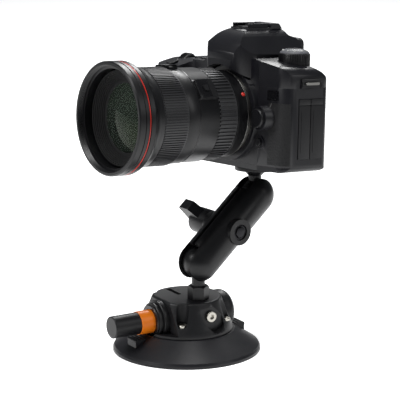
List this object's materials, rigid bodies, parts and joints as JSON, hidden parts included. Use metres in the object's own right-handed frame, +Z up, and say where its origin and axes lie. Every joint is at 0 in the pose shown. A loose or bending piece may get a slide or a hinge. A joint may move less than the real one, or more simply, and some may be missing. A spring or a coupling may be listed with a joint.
{
  "type": "camera on suction cup arm mount",
  "caption": "Reflex camera with a wide zoom lens, carried by a clamped double-ball arm on a hand-pumped vacuum suction cup.",
  "frame": {"origin": "middle of the cup's sealing lip, on the surface that it holds to", "axes": "+Z up, the pump knob points along -Y, the lens points roughly along -Y"},
  "size_m": [0.1606, 0.186, 0.2596],
  "materials": {
    "cup_rubber": "moulded",
    "housing_black": "fine textured moulding",
    "plate_alloy": "machined",
    "band_orange": "moulded",
    "stainless": "bright",
    "spring_steel": "drawn wire",
    "arm_coat": "satin powder coat",
    "ball_black": "black anodised with a rubbered ball",
    "bolt_black": "black oxide",
    "knob_plastic": "moulded",
    "brass": "turned",
    "pad_rubber": "moulded",
    "body_paint": "fine textured paint",
    "grip_rubber": "leather grain",
    "control_black": "moulded",
    "mount_steel": "turned",
    "inner_black": "flocked",
    "sensor_glass": "coated",
    "prism_glass": "polished",
    "lens_glass": "coated",
    "mirror_silver": "polished",
    "display_black": "glossy",
    "lens_black": "fine textured",
    "ring_rubber": "ribbed"
  },
  "bodies": {
    "base": {"suction_cup": "cup_rubber", "cup_plate": "plate_alloy", "check_valve": "cup_rubber", "base_housing": "housing_black", "housing_screws": "stainless", "side_screws": "stainless", "pump_cylinder": "housing_black", "pump_spring": "spring_steel"},
    "plunger": {"pump_knob": "housing_black", "indicator_band": "band_orange", "piston_rod": "stainless", "piston_seal": "cup_rubber"},
    "lower_ball": {"lower_ball_stud": "ball_black"},
    "arm": {"arm_near_half": "arm_coat", "arm_bolt": "bolt_black", "clamp_spring": "spring_steel"},
    "arm_far": {"arm_far_half": "arm_coat"},
    "knob": {"wing_knob": "knob_plastic", "knob_nut": "brass"},
    "upper_ball": {"upper_ball_stud": "ball_black", "camera_pad": "pad_rubber", "tripod_screw": "stainless"},
    "camera": {"front_cover": "body_paint", "rear_cover": "body_paint", "top_cover": "body_paint", "bottom_plate": "body_paint", "tripod_socket": "stainless", "grip_skin": "grip_rubber", "lens_mount_ring": "mount_steel", "mirror_box": "inner_black", "image_sensor": "sensor_glass", "pentaprism": "prism_glass", "battery": "control_black", "eyecup": "pad_rubber", "hot_shoe": "stainless", "rear_display": "display_black", "top_display": "display_black", "strap_lugs": "stainless", "lens_barrel": "lens_black", "front_trim": "lens_black"},
    "mirror": {"reflex_mirror": "mirror_silver"},
    "mode_dial": {"mode_dial": "control_black"},
    "main_dial": {"main_dial": "control_black"},
    "shutter_button": {"shutter_button": "control_black"},
    "lens_release_button": {"lens_release_button": "control_black"},
    "preview_button": {"preview_button": "control_black"},
    "quick_dial": {"quick_dial": "control_black"},
    "set_button": {"set_button": "control_black"},
    "joystick": {"joystick": "control_black"},
    "rear_buttons": {"rear_buttons": "control_black"},
    "top_buttons": {"top_buttons": "control_black"},
    "port_door_front": {"port_door_front": "pad_rubber"},
    "port_door_rear": {"port_door_rear": "pad_rubber"},
    "card_door": {"card_door": "control_black"},
    "battery_door": {"battery_door": "control_black"},
    "zoom_ring": {"zoom_ring": "ring_rubber"},
    "focus_ring": {"focus_ring": "ring_rubber"},
    "af_switch": {"af_switch": "control_black"},
    "front_group": {"inner_barrel": "inner_black", "front_element": "lens_glass"}
  },
  "joints": [
    {"name": "pump_stroke", "type": "slide", "parent": "base", "child": "plunger", "axis": [0, 1, 0], "range_m": [0, 0.016], "stiffness_N_per_m": 400, "deforming": ["pump_spring"]},
    {"name": "base_swivel", "type": "hinge", "parent": "base", "child": "lower_ball", "pos_m": [0.0138, 0.0027, 0.074], "axis": [0, 0, 1], "continuous": true},
    {"name": "arm_tilt", "type": "hinge", "parent": "lower_ball", "child": "arm", "pos_m": [0.0138, 0.0027, 0.074], "axis": [0.9925, 0.1219, 0], "range_deg": [-28, 56]},
    {"name": "clamp_open", "type": "slide", "parent": "arm", "child": "arm_far", "axis": [-0.9925, -0.1219, 0], "range_m": [0, 0.00127]},
    {"name": "knob_turn", "type": "hinge", "parent": "arm_far", "child": "knob", "pos_m": [0.01032, 0.03101, 0.09726], "axis": [0.9925, 0.1219, 0], "range_deg": [0, 360]},
    {"name": "camera_tilt", "type": "hinge", "parent": "arm", "child": "upper_ball", "pos_m": [0.00685, 0.05931, 0.12052], "axis": [-0.9925, -0.1219, 0], "range_deg": [-25, 45]},
    {"name": "camera_pan", "type": "hinge", "parent": "upper_ball", "child": "camera", "pos_m": [0.00685, 0.05931, 0.12052], "axis": [-0.0798, 0.0753, 0.994], "continuous": true},
    {"name": "mirror_flip", "type": "hinge", "parent": "camera", "child": "mirror", "pos_m": [0, 0.06898, 0.20193], "axis": [-0.9933, -0.0894, -0.073], "range_deg": [0, 45], "stiffness_Nm_per_rad": 0.004, "springref_deg": -34.38},
    {"name": "mode_dial_turn", "type": "hinge", "parent": "camera", "child": "mode_dial", "pos_m": [0.03907, 0.07528, 0.23242], "axis": [0.1112, 0.091, 0.9896], "range_deg": [-120, 160]},
    {"name": "main_dial_turn", "type": "hinge", "parent": "camera", "child": "main_dial", "pos_m": [-0.06932, 0.04285, 0.21827], "axis": [0.9933, 0.0894, 0.073], "continuous": true},
    {"name": "shutter_press", "type": "slide", "parent": "camera", "child": "shutter_button", "axis": [0.0465, 0.2689, -0.962], "range_m": [0, 0.0012], "stiffness_N_per_m": 150},
    {"name": "lens_release_press", "type": "slide", "parent": "camera", "child": "lens_release_button", "axis": [-0.0834, 0.9931, -0.0819], "range_m": [0, 0.002], "stiffness_N_per_m": 150},
    {"name": "preview_press", "type": "slide", "parent": "camera", "child": "preview_button", "axis": [-0.0834, 0.9931, -0.0819], "range_m": [0, 0.001], "stiffness_N_per_m": 150},
    {"name": "quick_dial_turn", "type": "hinge", "parent": "camera", "child": "quick_dial", "pos_m": [-0.0608, 0.07961, 0.16687], "axis": [-0.0834, 0.9931, -0.0819], "continuous": true},
    {"name": "set_press", "type": "slide", "parent": "camera", "child": "set_button", "axis": [0.0834, -0.9931, 0.0819], "range_m": [0, 0.0008], "stiffness_N_per_m": 150},
    {"name": "joystick_press", "type": "slide", "parent": "camera", "child": "joystick", "axis": [0.0834, -0.9931, 0.0819], "range_m": [0, 0.0008], "stiffness_N_per_m": 150},
    {"name": "rear_buttons_press", "type": "slide", "parent": "camera", "child": "rear_buttons", "axis": [0.0834, -0.9931, 0.0819], "range_m": [0, 0.0008], "stiffness_N_per_m": 150},
    {"name": "top_buttons_press", "type": "slide", "parent": "camera", "child": "top_buttons", "axis": [0.0798, -0.0753, -0.994], "range_m": [0, 0.0008], "stiffness_N_per_m": 150},
    {"name": "port_door_front_swing", "type": "hinge", "parent": "camera", "child": "port_door_front", "pos_m": [0.06634, 0.06219, 0.19248], "axis": [0.0798, -0.0753, -0.994], "range_deg": [0, 110]},
    {"name": "port_door_rear_swing", "type": "hinge", "parent": "camera", "child": "port_door_rear", "pos_m": [0.06437, 0.08563, 0.19055], "axis": [-0.0798, 0.0753, 0.994], "range_deg": [0, 110]},
    {"name": "card_door_swing", "type": "hinge", "parent": "camera", "child": "card_door", "pos_m": [-0.0845, 0.0326, 0.18261], "axis": [-0.0798, 0.0753, 0.994], "range_deg": [0, 95]},
    {"name": "battery_door_swing", "type": "hinge", "parent": "camera", "child": "battery_door", "pos_m": [-0.04907, 0.02429, 0.14353], "axis": [0.0834, -0.9931, 0.0819], "range_deg": [0, 90]},
    {"name": "zoom_turn", "type": "hinge", "parent": "camera", "child": "zoom_ring", "pos_m": [0.00417, 0.03258, 0.18973], "axis": [-0.0834, 0.9931, -0.0819], "range_deg": [0, 70]},
    {"name": "focus_turn", "type": "hinge", "parent": "camera", "child": "focus_ring", "pos_m": [0.00417, 0.03258, 0.18973], "axis": [-0.0834, 0.9931, -0.0819], "range_deg": [0, 90]},
    {"name": "front_group_slide", "type": "slide", "parent": "camera", "child": "front_group", "axis": [0.0834, -0.9931, 0.0819], "range_m": [0, 0.004]},
    {"name": "af_switch_slide", "type": "slide", "parent": "camera", "child": "af_switch", "axis": [-0.6744, 0.0043, 0.7383], "range_m": [0, 0.003]}
  ],
  "couplings": [
    {"joint": "knob_turn", "follows": "clamp_open", "rad_per_m": 4947.4},
    {"joint": "front_group_slide", "follows": "zoom_turn", "m_per_rad": 0.003274}
  ]
}
